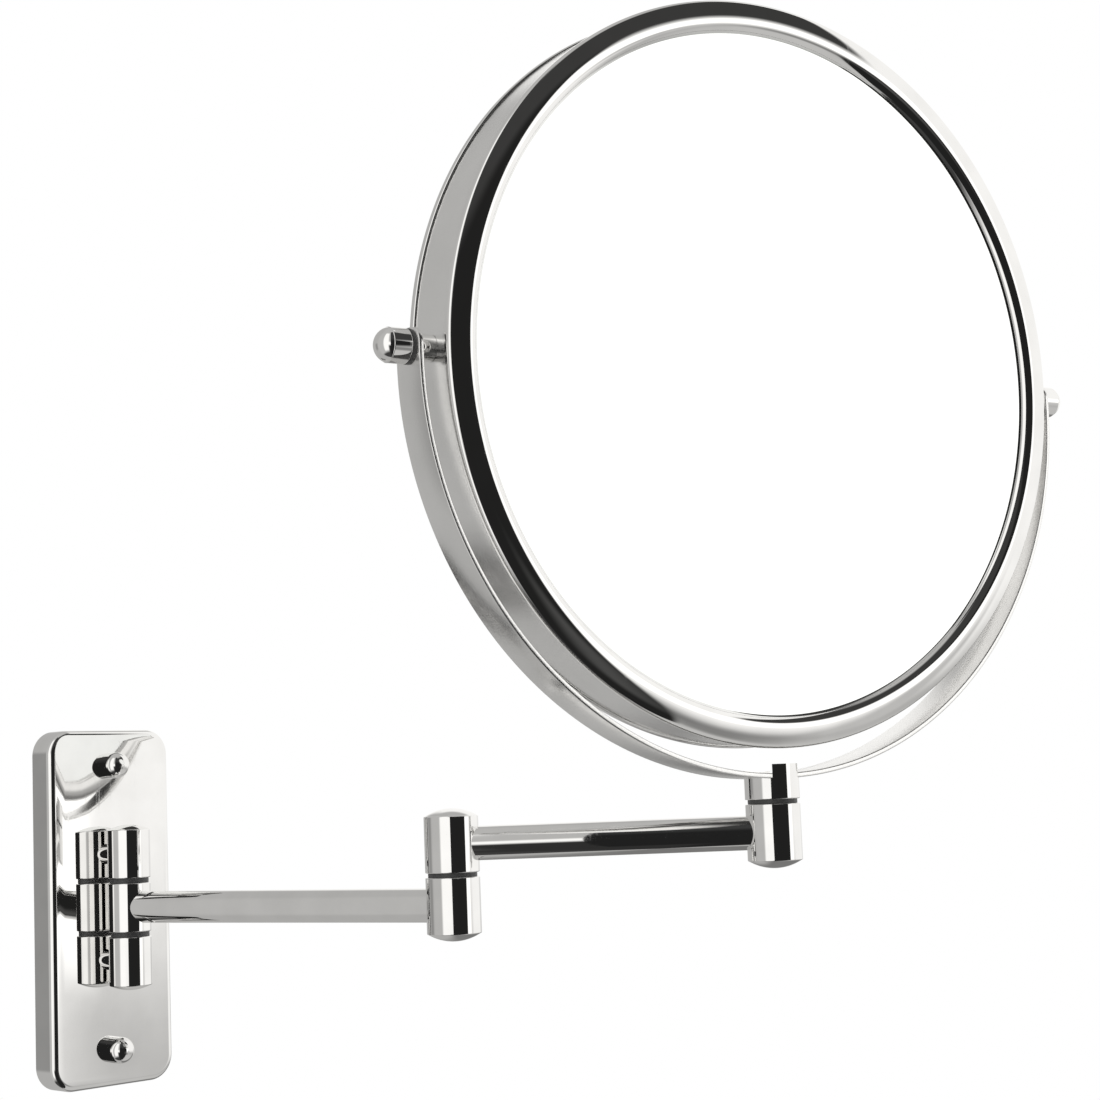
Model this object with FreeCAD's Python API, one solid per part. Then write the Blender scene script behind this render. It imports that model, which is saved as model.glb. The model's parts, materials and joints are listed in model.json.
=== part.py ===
import FreeCAD, Part
import math
import os

from FreeCAD import Placement, Rotation, Vector

# Extendable shaving mirror: a wall plate, two swinging arms and a round double-sided mirror
# that turns over in a U-shaped yoke.
# Row frame, millimetres: the origin is the centre of the wall plate's back, +Z is up, +X is to
# the right seen from the room, and the wall's outward normal is -Y.
# An azimuth is measured about +Z from straight out of the wall, positive towards +X.

ORIGIN = Vector(0, 0, 0)
X_AXIS = Vector(1, 0, 0)
Y_AXIS = Vector(0, 1, 0)
Z_AXIS = Vector(0, 0, 1)
SIDES = {"left": -1, "right": 1}
ENDS = {"upper": 1, "lower": -1}

# Rest pose, degrees
LOWER_ARM_AZIMUTH = 13.6
UPPER_ARM_AZIMUTH = 41.3
HEAD_AZIMUTH = -13.5
HEAD_TILT = 2.0

# Fits
TURNING_GAP = 0.04
PIN_CLEARANCE = 0.05
EDGE_ROUND = 0.3
COINCIDENT = 1e-6

# Wall plate, its hidden bracket and the two cap screws
PLATE_WIDTH = 46.0
PLATE_HEIGHT = 114.0
PLATE_DEPTH = 10.0
PLATE_CORNER = 8.0
PLATE_EDGE_ROUND = 2.2
PLATE_WALL = 1.8
BRACKET_WIDTH = 37.0
BRACKET_HEIGHT = 104.0
BRACKET_THICKNESS = 2.0
BRACKET_CORNER = 4.0
WALL_HOLE_SPACING = 60.0
WALL_HOLE_RADIUS = 2.5
CAP_SCREW_HEIGHT = 45.5
CAP_SCREW_SHANK = 2.0
CAP_SCREW_HEAD = 4.2
CAP_SCREW_COLLAR = 3.4
CAP_SCREW_DOME = 4.0
BOSS_RADIUS = 4.0
COVER_HOLE_PLAY = 0.15

# Wall hinge
HINGE_STANDOFF = 9.4
HINGE_RADIUS = 6.8
HINGE_KNUCKLE = 15.4
HINGE_GAP = 1.6
HINGE_PIN = 3.0
HINGE_WASHER = 6.1
HINGE_DOME = 1.5
POST_PEG = 3.25
POST_PEG_FLOOR = 4.4
PEG_TAIL = 2.0
PEG_TAIL_END = 4.6
PEG_NUT_FLATS = 7.0
PEG_NUT_HEIGHT = 3.2

# Arms, and the elbow and post knuckles that join them
LOWER_ARM_LENGTH = 124.0
UPPER_ARM_LENGTH = 94.0
TUBE_RADIUS = 5.0
TUBE_BORE = 3.8
HINGE_SOCKET_FLOOR = 4.5
KNUCKLE_RADIUS = 8.0
KNUCKLE_HEIGHT = 16.4
KNUCKLE_GAP = 1.3
KNUCKLE_WASHER = 7.2
KNUCKLE_DOME = 2.2
KNUCKLE_SOCKET_FLOOR = 6.0
PIN_RADIUS = 3.5
PIN_THREAD = 2.5
PIN_THREAD_LENGTH = 4.3
COUNTERBORE_RADIUS = 5.0
COUNTERBORE_DEPTH = 6.0
SPRING_WASHER = 4.6
SPRING_WASHER_THICKNESS = 1.0
SPRING_WASHER_SPLIT = 0.8
LOCK_NUT_FLATS = 8.0
LOCK_NUT_HEIGHT = 3.0
CAP_PLUG_LENGTH = 1.2

# Yoke and the post's sleeve that carries it
HEAD_HEIGHT = 152.0
YOKE_OUTER = 116.2
YOKE_THICKNESS = 1.5
YOKE_WIDTH = 13.0
YOKE_EDGE_ROUND = 0.35
YOKE_DROP = 2.7
YOKE_TIP = 5.0
YOKE_TIP_ROUND = 4.9
YOKE_SCREW = 2.0
YOKE_SCREW_HEAD = 3.5
YOKE_SCREW_LENGTH = 8.0
YOKE_SCREW_RECESS = 1.9
EAR_RISE = 2.7
SLEEVE_SCREW_LENGTH = 3.3

# Mirror head: bezels, drum, glasses and the frame inside
DRUM_SHEET = 0.8
CREST_RADIUS = 103.7
CREST_HEIGHT = 12.3
LIP_ROUND = 3.4
LIP_ANGLE = 71.0
CROWN_ROUND = 15.3
CROWN_ANGLE = 20.3
RIM_ROUND = 1.53
SKIRT_END = 8.4
DRUM_HALF_WIDTH = 9.4
DRUM_INNER = 108.2
GLASS_RADIUS = 103.5
GLASS_THICKNESS = 3.0
GLASS_FACE = 9.7
DISH_RADIUS = 99.5
DISH_DEPTH = 6.5
PAD_THICKNESS = 1.0
FRAME_OUTER = 107.9
FRAME_WALL = 1.3
FRAME_INNER = 97.0

# Pivots of the mirror head in the yoke, measured along the pivot axis
STUD_RADIUS = 2.5
STUD_START = 101.5
STUD_END = 121.0
INSERT_RADIUS = 3.9
INSERT_NECK = 3.0
INSERT_START = 100.5
SPACER_RADIUS = 3.8
SPACER_START = 109.25
INNER_WASHER_RADIUS = 4.5
INNER_WASHER_START = 114.0
INNER_WASHER_END = 114.6
OUTER_WASHER_THICKNESS = 0.8
KNOB_RADIUS = 4.9
KNOB_LENGTH = 5.6
KNOB_DOME = 3.4
KNOB_CAP_INSET = 0.15

# Derived sizes
COVER_FLOOR = PLATE_DEPTH - PLATE_WALL
HINGE_PITCH = HINGE_KNUCKLE + HINGE_GAP
KNUCKLE_PITCH = KNUCKLE_HEIGHT + KNUCKLE_GAP
YOKE_INNER = YOKE_OUTER - YOKE_THICKNESS
UPPER_BOTTOM = KNUCKLE_PITCH - KNUCKLE_HEIGHT / 2
UPPER_TOP = KNUCKLE_PITCH + KNUCKLE_HEIGHT / 2
SLEEVE_BOTTOM = UPPER_TOP + KNUCKLE_GAP
YOKE_UNDERSIDE = HEAD_HEIGHT - YOKE_DROP - YOKE_OUTER
YOKE_FLOOR = YOKE_UNDERSIDE + YOKE_THICKNESS
SLEEVE_TOP = YOKE_FLOOR + EAR_RISE
POST_PIN_TOP = YOKE_UNDERSIDE - YOKE_EDGE_ROUND
ELBOW_NUT_FLOOR = UPPER_TOP - COUNTERBORE_DEPTH
POST_NUT_FLOOR = -(UPPER_BOTTOM + COUNTERBORE_DEPTH)
FRAME_HALF_WIDTH = GLASS_FACE - GLASS_THICKNESS - PAD_THICKNESS
KNOB_START = YOKE_OUTER + OUTER_WASHER_THICKNESS + 1.5 * TURNING_GAP

# Places of the joints
HINGE_POINT = Vector(0, -(PLATE_DEPTH + HINGE_STANDOFF), 0)


def outward(azimuth):
    """Unit vector that points out of the wall at an azimuth."""
    angle = math.radians(azimuth)
    return Vector(math.sin(angle), -math.cos(angle), 0)


ELBOW_POINT = HINGE_POINT + outward(LOWER_ARM_AZIMUTH) * LOWER_ARM_LENGTH
POST_POINT = ELBOW_POINT + outward(UPPER_ARM_AZIMUTH) * UPPER_ARM_LENGTH
HEAD_POINT = POST_POINT + Z_AXIS * HEAD_HEIGHT

# Frames: in each one, -Y points along the arm or out of the mirror
WALL_FRAME = Placement()
HINGE_FRAME = Placement(HINGE_POINT, Rotation())
LOWER_ARM_FRAME = Placement(HINGE_POINT, Rotation(Z_AXIS, LOWER_ARM_AZIMUTH))
ELBOW_FRAME = Placement(ELBOW_POINT, Rotation(Z_AXIS, LOWER_ARM_AZIMUTH))
UPPER_ARM_FRAME = Placement(ELBOW_POINT, Rotation(Z_AXIS, UPPER_ARM_AZIMUTH))
POST_ARM_FRAME = Placement(POST_POINT, Rotation(Z_AXIS, UPPER_ARM_AZIMUTH))
POST_FRAME = Placement(POST_POINT, Rotation(Z_AXIS, HEAD_AZIMUTH))
YOKE_FRAME = Placement(HEAD_POINT, Rotation(Z_AXIS, HEAD_AZIMUTH))
HEAD_TURN = Rotation(Z_AXIS, HEAD_AZIMUTH).multiply(Rotation(X_AXIS, HEAD_TILT))
HEAD_FRAME = Placement(HEAD_POINT, HEAD_TURN)


# General shapes

def rod(radius, start, end, axis=Z_AXIS, through=ORIGIN):
    """Cylinder between two distances along an axis through a point."""
    return Part.makeCylinder(radius, end - start, through + axis * start, axis)


def tube(outer, inner, start, end, axis=Z_AXIS, through=ORIGIN):
    """Ring or pipe between two distances along an axis."""
    return rod(outer, start, end, axis, through).cut(rod(inner, start, end, axis, through))


def box_between(low, high):
    """Box given by its lowest and highest corners."""
    size = high - low
    return Part.makeBox(size.x, size.y, size.z, low)


def line(start, end):
    return Part.LineSegment(start, end).toShape()


def arc(centre, radius, start_angle, end_angle):
    """Arc in the XY plane; angles are measured from +Y towards +X."""
    points = []
    for angle in (start_angle, (start_angle + end_angle) / 2, end_angle):
        turn = math.radians(angle)
        points.append(centre + Vector(math.sin(turn), math.cos(turn), 0) * radius)
    return Part.Arc(*points).toShape()


def turned(edges, axis=Y_AXIS):
    """Solid made by turning a closed outline in the XY plane about an axis."""
    return Part.Face(Part.Wire(edges)).revolve(ORIGIN, axis, 360)


def rounded_rod(radius, start, end, start_round, end_round, axis=Z_AXIS):
    """Cylinder whose two rims are rounded; a rounding of 0 leaves that rim sharp."""
    body = rod(radius, start, end)
    for height, rim_round in ((start, start_round), (end, end_round)):
        if rim_round > 0:
            rims = [edge for edge in body.Edges if on_rim(edge, radius, height)]
            body = body.makeFillet(rim_round, rims)
    body.Placement = Placement(ORIGIN, Rotation(Z_AXIS, axis))
    return body


def on_rim(edge, radius, height):
    """True for the full circle of a radius about +Z at a height."""
    curve = edge.Curve
    if not isinstance(curve, Part.Circle):
        return False
    return abs(curve.Radius - radius) < COINCIDENT and abs(curve.Center.z - height) < COINCIDENT


def dome(radius, rise, base, axis=Z_AXIS):
    """Spherical cap that stands on a flat base at a distance along an axis."""
    sphere_radius = (radius ** 2 + rise ** 2) / (2 * rise)
    half_angle = math.degrees(math.asin(radius / sphere_radius))
    if rise > radius:
        half_angle = 180 - half_angle
    centre = Vector(0, rise - sphere_radius, 0)
    edges = [
        line(ORIGIN, Vector(radius, 0, 0)),
        arc(centre, sphere_radius, half_angle, 0),
        line(Vector(0, rise, 0), ORIGIN),
    ]
    cap = turned(edges)
    cap.Placement = Placement(axis * base, Rotation(Y_AXIS, axis))
    return cap


def hexagon(flats, start, end, bore, axis=Z_AXIS, through=ORIGIN):
    """Hexagon nut of a width across flats, with a plain bore."""
    corner = flats / math.sqrt(3)
    points = [
        Vector(corner * math.cos(math.radians(60 * k)), corner * math.sin(math.radians(60 * k)), 0)
        for k in range(7)
    ]
    nut = Part.Face(Part.makePolygon(points)).extrude(Z_AXIS * (end - start))
    nut.Placement = Placement(through + axis * start, Rotation(Z_AXIS, axis))
    return nut.cut(rod(bore, start, end, axis, through))


def rounded_block(width, height, corner, depth):
    """Rounded rectangle in the XZ plane, pushed from the wall out to a depth."""
    block = box_between(Vector(-width / 2, -depth, -height / 2), Vector(width / 2, 0, height / 2))
    upright = [edge for edge in block.Edges if edge.BoundBox.YLength > depth / 2]
    return block.makeFillet(corner, upright)


# Wall plate and what is fixed to it

def wall_plate():
    """Chromed cover: a hollow plate with a rounded front edge and four fixing holes."""
    plate = rounded_block(PLATE_WIDTH, PLATE_HEIGHT, PLATE_CORNER, PLATE_DEPTH)
    front = [edge for edge in plate.Edges if edge.BoundBox.YMax < -PLATE_DEPTH / 2]
    plate = plate.makeFillet(PLATE_EDGE_ROUND, front)
    inner = rounded_block(
        PLATE_WIDTH - 2 * PLATE_WALL,
        PLATE_HEIGHT - 2 * PLATE_WALL,
        PLATE_CORNER - PLATE_WALL,
        COVER_FLOOR,
    )
    plate = plate.cut(inner)
    for end in ENDS.values():
        screw_at = Z_AXIS * (end * CAP_SCREW_HEIGHT)
        peg_at = Z_AXIS * (end * HINGE_PITCH)
        hole_radius = CAP_SCREW_SHANK + COVER_HOLE_PLAY
        plate = plate.cut(rod(hole_radius, COVER_FLOOR, PLATE_DEPTH, -Y_AXIS, screw_at))
        plate = plate.cut(rod(PEG_TAIL + COVER_HOLE_PLAY, COVER_FLOOR, PLATE_DEPTH, -Y_AXIS, peg_at))
    return plate


def wall_bracket():
    """Steel strip that is screwed to the wall and takes the cap screws."""
    bracket = rounded_block(BRACKET_WIDTH, BRACKET_HEIGHT, BRACKET_CORNER, BRACKET_THICKNESS)
    for end in ENDS.values():
        hole_at = Z_AXIS * (end * WALL_HOLE_SPACING / 2)
        boss_at = Z_AXIS * (end * CAP_SCREW_HEIGHT)
        bracket = bracket.cut(rod(WALL_HOLE_RADIUS, 0, BRACKET_THICKNESS, -Y_AXIS, hole_at))
        bracket = bracket.cut(rod(CAP_SCREW_SHANK, 0, BRACKET_THICKNESS, -Y_AXIS, boss_at))
    return bracket


def bracket_bosses():
    """Two threaded spacers between the bracket and the inside of the cover."""
    bosses = []
    for end in ENDS.values():
        screw_at = Z_AXIS * (end * CAP_SCREW_HEIGHT)
        boss = tube(BOSS_RADIUS, CAP_SCREW_SHANK, BRACKET_THICKNESS, COVER_FLOOR, -Y_AXIS, screw_at)
        bosses.append(boss)
    return bosses


def cap_screw(end):
    """Dome-headed screw that holds the cover on the bracket."""
    collar = rod(CAP_SCREW_HEAD, PLATE_DEPTH, PLATE_DEPTH + CAP_SCREW_COLLAR, -Y_AXIS)
    head = dome(CAP_SCREW_HEAD, CAP_SCREW_DOME, PLATE_DEPTH + CAP_SCREW_COLLAR, -Y_AXIS)
    shank = rod(CAP_SCREW_SHANK, BRACKET_THICKNESS / 2, PLATE_DEPTH, -Y_AXIS)
    screw = collar.fuse([head, shank]).removeSplitter()
    return screw.translated(Z_AXIS * (end * CAP_SCREW_HEIGHT))


def hinge_peg(end):
    """Peg that stands a fixed knuckle off the cover, with a threaded tail through it."""
    tip = PLATE_DEPTH + HINGE_STANDOFF - POST_PEG_FLOOR
    peg_at = Z_AXIS * (end * HINGE_PITCH)
    body = rod(POST_PEG, PLATE_DEPTH, tip, -Y_AXIS, peg_at)
    return body.fuse(rod(PEG_TAIL, PEG_TAIL_END, PLATE_DEPTH, -Y_AXIS, peg_at)).removeSplitter()


def hinge_peg_nuts():
    """Two nuts inside the cover, on the tails of the pegs."""
    nuts = []
    start = COVER_FLOOR - PEG_NUT_HEIGHT
    for end in ENDS.values():
        peg_at = Z_AXIS * (end * HINGE_PITCH)
        nuts.append(hexagon(PEG_NUT_FLATS, start, COVER_FLOOR, PEG_TAIL, -Y_AXIS, peg_at))
    return nuts


def wall_knuckle(end):
    """Fixed outer knuckle of the wall hinge, bored for the pin and for its peg."""
    half = HINGE_KNUCKLE / 2
    knuckle = rounded_rod(HINGE_RADIUS, -half, half, EDGE_ROUND, EDGE_ROUND)
    knuckle = knuckle.cut(rod(HINGE_PIN, -half, half))
    knuckle = knuckle.cut(rod(POST_PEG, POST_PEG_FLOOR, HINGE_RADIUS + 1, Y_AXIS))
    return knuckle.translated(Z_AXIS * (end * HINGE_PITCH))


def wall_hinge_pin():
    half = HINGE_PITCH + HINGE_KNUCKLE / 2
    return rod(HINGE_PIN, -half, half)


def wall_hinge_cap(end):
    """Low dome that closes the pin's bore at one end."""
    return dome(HINGE_RADIUS - EDGE_ROUND, HINGE_DOME, HINGE_PITCH + HINGE_KNUCKLE / 2, Z_AXIS * end)


def wall_hinge_washer(end):
    """Washer that rests on a fixed knuckle and leaves the turning gap to the middle one."""
    near = HINGE_KNUCKLE / 2 + TURNING_GAP
    return tube(HINGE_WASHER, HINGE_PIN, near, HINGE_KNUCKLE / 2 + HINGE_GAP, Z_AXIS * end)


# Arms

def arm_hinge_knuckle():
    """Middle knuckle of the wall hinge, with the seat of the lower arm's tube."""
    half = HINGE_KNUCKLE / 2
    knuckle = rounded_rod(HINGE_RADIUS, -half, half, EDGE_ROUND, EDGE_ROUND)
    knuckle = knuckle.cut(rod(HINGE_PIN + PIN_CLEARANCE, -half, half))
    return knuckle.cut(rod(TUBE_RADIUS, HINGE_SOCKET_FLOOR, HINGE_RADIUS + 1, -Y_AXIS))


def arm_tube(length, start_floor, height=0):
    """Straight tube between the seats of two knuckles."""
    level = Z_AXIS * height
    return tube(TUBE_RADIUS, TUBE_BORE, start_floor, length - KNUCKLE_SOCKET_FLOOR, -Y_AXIS, level)


def plain_knuckle(bottom, top, bore):
    """Rounded knuckle with its bore, before any seat is cut in it."""
    knuckle = rounded_rod(KNUCKLE_RADIUS, bottom, top, EDGE_ROUND, EDGE_ROUND)
    return knuckle.cut(rod(bore, bottom, top))


def seated(knuckle, height, direction):
    """Knuckle with the blind seat of a tube cut in its side."""
    seat = rod(TUBE_RADIUS, KNUCKLE_SOCKET_FLOOR, KNUCKLE_RADIUS + 1, direction, Z_AXIS * height)
    return knuckle.cut(seat)


def elbow_lower_knuckle():
    half = KNUCKLE_HEIGHT / 2
    return seated(plain_knuckle(-half, half, PIN_RADIUS), 0, Y_AXIS)


def elbow_upper_knuckle():
    """Upper elbow knuckle, counterbored at the top for the lock nut."""
    knuckle = plain_knuckle(UPPER_BOTTOM, UPPER_TOP, PIN_RADIUS + PIN_CLEARANCE)
    knuckle = knuckle.cut(rod(COUNTERBORE_RADIUS, UPPER_TOP - COUNTERBORE_DEPTH, UPPER_TOP))
    return seated(knuckle, KNUCKLE_PITCH, -Y_AXIS)


def post_lower_knuckle():
    """Knuckle at the end of the upper arm, counterbored at the bottom for the lock nut."""
    knuckle = plain_knuckle(UPPER_BOTTOM, UPPER_TOP, PIN_RADIUS + PIN_CLEARANCE)
    knuckle = knuckle.cut(rod(COUNTERBORE_RADIUS, UPPER_BOTTOM, UPPER_BOTTOM + COUNTERBORE_DEPTH))
    return seated(knuckle, KNUCKLE_PITCH, Y_AXIS)


def knuckle_cap(plug, base, up):
    """Low dome over a knuckle's end, with a plug in its bore; up is +1 or -1."""
    cap = dome(KNUCKLE_RADIUS - EDGE_ROUND, KNUCKLE_DOME, up * base, Z_AXIS * up)
    if plug > 0:
        cap = cap.fuse(rod(plug, up * base - CAP_PLUG_LENGTH, up * base, Z_AXIS * up)).removeSplitter()
    return cap


def joint_pin(shoulder_start, shoulder_end, up):
    """Pin with a plain shoulder and a thinner threaded end; distances run along up."""
    axis = Z_AXIS * up
    thread = rod(PIN_THREAD, shoulder_end, shoulder_end + PIN_THREAD_LENGTH, axis)
    return rod(PIN_RADIUS, shoulder_start, shoulder_end, axis).fuse(thread).removeSplitter()


def joint_spring_washer(floor, up):
    """Split spring washer on the counterbore's floor."""
    start = floor + TURNING_GAP
    axis = Z_AXIS * up
    washer = tube(SPRING_WASHER, PIN_THREAD, start, start + SPRING_WASHER_THICKNESS, axis)
    ends = sorted((up * start, up * (start + SPRING_WASHER_THICKNESS)))
    split = box_between(
        Vector(0, -SPRING_WASHER_SPLIT / 2, ends[0]),
        Vector(SPRING_WASHER + 1, SPRING_WASHER_SPLIT / 2, ends[1]),
    )
    return washer.cut(split)


def joint_lock_nut(floor, up):
    start = floor + TURNING_GAP + SPRING_WASHER_THICKNESS
    return hexagon(LOCK_NUT_FLATS, start, start + LOCK_NUT_HEIGHT, PIN_THREAD, Z_AXIS * up)


# Post and yoke

def post_pin():
    """Pin of the post: fixed in the sleeve, it hangs down through the arm's knuckle."""
    pin = joint_pin(-POST_PIN_TOP, POST_NUT_FLOOR - TURNING_GAP, -1)
    return pin.cut(rod(YOKE_SCREW, YOKE_FLOOR - YOKE_SCREW_LENGTH, POST_PIN_TOP))


def post_sleeve():
    """Sleeve that turns on the post; its slotted top holds the yoke between two ears."""
    sleeve = rounded_rod(KNUCKLE_RADIUS, SLEEVE_BOTTOM, SLEEVE_TOP, EDGE_ROUND, 0)
    sleeve = sleeve.cut(rod(PIN_RADIUS, SLEEVE_BOTTOM, POST_PIN_TOP))
    half = YOKE_WIDTH / 2
    seat = rod(YOKE_OUTER, -half, half, Y_AXIS, Z_AXIS * (HEAD_HEIGHT - YOKE_DROP))
    return sleeve.cut(rod(YOKE_SCREW, POST_PIN_TOP, SLEEVE_TOP)).cut(seat)


def yoke_leg(side):
    """Straight end of the strip, from the top of the half circle to a rounded tip."""
    half = YOKE_WIDTH / 2
    near, far = sorted((side * YOKE_INNER, side * YOKE_OUTER))
    leg = box_between(Vector(near, -half, -YOKE_DROP), Vector(far, half, YOKE_TIP))
    corners = [edge for edge in leg.Edges if is_tip_corner(edge)]
    return leg.makeFillet(YOKE_TIP_ROUND, corners)


def is_tip_corner(edge):
    """True for the two top edges of a leg that run through the strip's thickness."""
    box = edge.BoundBox
    return box.XLength > YOKE_THICKNESS / 2 and box.ZMax > YOKE_TIP / 2


def yoke_band():
    """Flat strip: half a circle below the mirror, with a short straight leg past each pivot."""
    half = YOKE_WIDTH / 2
    reach = YOKE_OUTER + 1
    band = tube(YOKE_OUTER, YOKE_INNER, -half, half, Y_AXIS, -Z_AXIS * YOKE_DROP)
    below = Vector(-reach, -half, -YOKE_DROP - reach)
    band = band.common(box_between(below, Vector(reach, half, -YOKE_DROP)))
    band = band.fuse([yoke_leg(side) for side in SIDES.values()]).removeSplitter()
    band = band.makeFillet(YOKE_EDGE_ROUND, yoke_rims(band))
    for side in SIDES.values():
        band = band.cut(rod(STUD_RADIUS + PIN_CLEARANCE, YOKE_INNER - 1, YOKE_OUTER + 1, X_AXIS * side))
    return band.cut(yoke_screw_shape())


def yoke_rims(band):
    """Edges along the strip's two sides and over its tips, but none through its thickness."""
    rims = []
    for edge in band.Edges:
        middle = edge.valueAt((edge.FirstParameter + edge.LastParameter) / 2)
        on_side = abs(abs(middle.y) - YOKE_WIDTH / 2) < COINCIDENT
        on_tip = middle.z > YOKE_TIP / 2
        if edge.Length > YOKE_THICKNESS + YOKE_EDGE_ROUND and (on_side or on_tip):
            rims.append(edge)
    return rims


def yoke_screw_shape():
    """Countersunk screw from inside the yoke into the post's pin, in the yoke's frame."""
    outside = -(YOKE_DROP + YOKE_OUTER)
    inside = outside + YOKE_THICKNESS
    head = Part.makeCone(YOKE_SCREW, YOKE_SCREW_HEAD, YOKE_THICKNESS, Z_AXIS * outside, Z_AXIS)
    return head.fuse(rod(YOKE_SCREW, inside - YOKE_SCREW_LENGTH, outside)).removeSplitter()


def yoke_screw():
    """The same screw with a cross recess in its head."""
    screw = yoke_screw_shape()
    inside = -(YOKE_DROP + YOKE_INNER)
    slot = YOKE_SCREW / 4
    for width, depth in ((YOKE_SCREW_RECESS, slot), (slot, YOKE_SCREW_RECESS)):
        low = Vector(-width, -depth, inside - 1)
        screw = screw.cut(box_between(low, Vector(width, depth, inside + 1)))
    return screw


# Mirror head, turned about its own Y axis

def bezel_outline(inset):
    """Arcs of the bezel's section at an inset from its outer skin, and the two end points."""
    lip_centre = Vector(CREST_RADIUS, CREST_HEIGHT - LIP_ROUND, 0)
    crown_centre = Vector(CREST_RADIUS, CREST_HEIGHT - CROWN_ROUND, 0)
    crown = math.radians(CROWN_ANGLE)
    rim_centre = crown_centre + Vector(math.sin(crown), math.cos(crown), 0) * (CROWN_ROUND - RIM_ROUND)
    arcs = [
        arc(lip_centre, LIP_ROUND - inset, -LIP_ANGLE, 0),
        arc(crown_centre, CROWN_ROUND - inset, 0, CROWN_ANGLE),
        arc(rim_centre, RIM_ROUND - inset, CROWN_ANGLE, 90),
    ]
    lip = math.radians(LIP_ANGLE)
    first = lip_centre + Vector(-math.sin(lip), math.cos(lip), 0) * (LIP_ROUND - inset)
    last = rim_centre + Vector(RIM_ROUND - inset, 0, 0)
    return arcs, first, last


def bezel(front):
    """Pressed ring over one face of the drum; front is -1 for the -Y side and +1 for the other."""
    outer, outer_lip, outer_rim = bezel_outline(0)
    inner, inner_lip, inner_rim = bezel_outline(DRUM_SHEET)
    outer_foot = Vector(outer_rim.x, SKIRT_END, 0)
    inner_foot = Vector(inner_rim.x, SKIRT_END, 0)
    skirt = [line(outer_rim, outer_foot), line(outer_foot, inner_foot), line(inner_foot, inner_rim)]
    ring = turned(outer + skirt + inner[::-1] + [line(inner_lip, outer_lip)])
    return ring if front > 0 else flipped(ring)


def flipped(shape):
    """Shape turned over end for end, from the +Y side to the -Y side."""
    return shape.rotated(ORIGIN, X_AXIS, 180)


def drum_outer():
    """Outer radius of the drum band: it fits inside the bezels' skirts."""
    return bezel_outline(DRUM_SHEET)[2].x


def drum_band():
    """Side wall of the drum, with a hole for each pivot stud."""
    band = tube(drum_outer(), DRUM_INNER, -DRUM_HALF_WIDTH, DRUM_HALF_WIDTH, Y_AXIS)
    for side in SIDES.values():
        band = band.cut(rod(STUD_RADIUS, DRUM_INNER - 1, drum_outer() + 1, X_AXIS * side))
    return band


def front_glass():
    """Flat plain glass."""
    return rod(GLASS_RADIUS, GLASS_FACE - GLASS_THICKNESS, GLASS_FACE, -Y_AXIS)


def back_glass():
    """Concave magnifying glass with a flat rim under the bezel's lip."""
    sphere_radius = (DISH_RADIUS ** 2 + DISH_DEPTH ** 2) / (2 * DISH_DEPTH)
    half_angle = math.degrees(math.asin(DISH_RADIUS / sphere_radius))
    inside = GLASS_FACE - GLASS_THICKNESS
    rims = [Vector(DISH_RADIUS, face, 0) for face in (inside, GLASS_FACE)]
    edges = [Vector(GLASS_RADIUS, face, 0) for face in (inside, GLASS_FACE)]
    depths = [Vector(0, face - DISH_DEPTH, 0) for face in (inside, GLASS_FACE)]
    dishes = [
        arc(depth + Y_AXIS * sphere_radius, sphere_radius, 180, 180 - half_angle)
        for depth in depths
    ]
    outline = [
        dishes[0],
        line(rims[0], edges[0]),
        line(edges[0], edges[1]),
        line(edges[1], rims[1]),
        dishes[1],
        line(depths[1], depths[0]),
    ]
    return turned(outline)


def front_pad():
    """Foam disc behind the plain glass."""
    return rod(GLASS_RADIUS, FRAME_HALF_WIDTH, FRAME_HALF_WIDTH + PAD_THICKNESS, -Y_AXIS)


def back_pad():
    """Foam ring behind the rim of the magnifying glass."""
    return tube(GLASS_RADIUS, DISH_RADIUS, FRAME_HALF_WIDTH, FRAME_HALF_WIDTH + PAD_THICKNESS, Y_AXIS)


def inner_frame():
    """Moulded channel ring that keeps the two glasses apart and holds the pivot inserts."""
    frame = tube(FRAME_OUTER, FRAME_INNER, -FRAME_HALF_WIDTH, FRAME_HALF_WIDTH, Y_AXIS)
    web = FRAME_HALF_WIDTH - FRAME_WALL
    frame = frame.cut(tube(FRAME_OUTER - FRAME_WALL, FRAME_INNER, -web, web, Y_AXIS))
    for side in SIDES.values():
        frame = frame.cut(rod(INSERT_NECK, FRAME_INNER, FRAME_OUTER + 1, X_AXIS * side))
    return frame


# Pivots; side is -1 for left and +1 for right

def pivot_insert(side):
    """Threaded brass insert inside the frame, with a neck through its wall."""
    axis = X_AXIS * side
    shoulder = math.sqrt((FRAME_OUTER - FRAME_WALL) ** 2 - INSERT_RADIUS ** 2)
    body = rod(INSERT_RADIUS, INSERT_START, shoulder, axis)
    neck = rod(INSERT_NECK, shoulder, DRUM_INNER - PIN_CLEARANCE, axis)
    return body.fuse(neck).removeSplitter().cut(rod(STUD_RADIUS, INSERT_START, DRUM_INNER, axis))


def pivot_stud(side):
    return rod(STUD_RADIUS, STUD_START, STUD_END, X_AXIS * side)


def pivot_spacer(side):
    """Bush between the drum and the inner washer."""
    end = INNER_WASHER_START - TURNING_GAP
    return tube(SPACER_RADIUS, STUD_RADIUS, SPACER_START, end, X_AXIS * side)


def pivot_inner_washer(side):
    """Nylon washer on the inside of the yoke."""
    bore = STUD_RADIUS + PIN_CLEARANCE
    return tube(INNER_WASHER_RADIUS, bore, INNER_WASHER_START, INNER_WASHER_END, X_AXIS * side)


def pivot_outer_washer(side):
    """Nylon washer between the yoke and the knob."""
    bore = STUD_RADIUS + PIN_CLEARANCE
    return tube(KNOB_RADIUS, bore, YOKE_OUTER, YOKE_OUTER + OUTER_WASHER_THICKNESS, X_AXIS * side)


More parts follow.
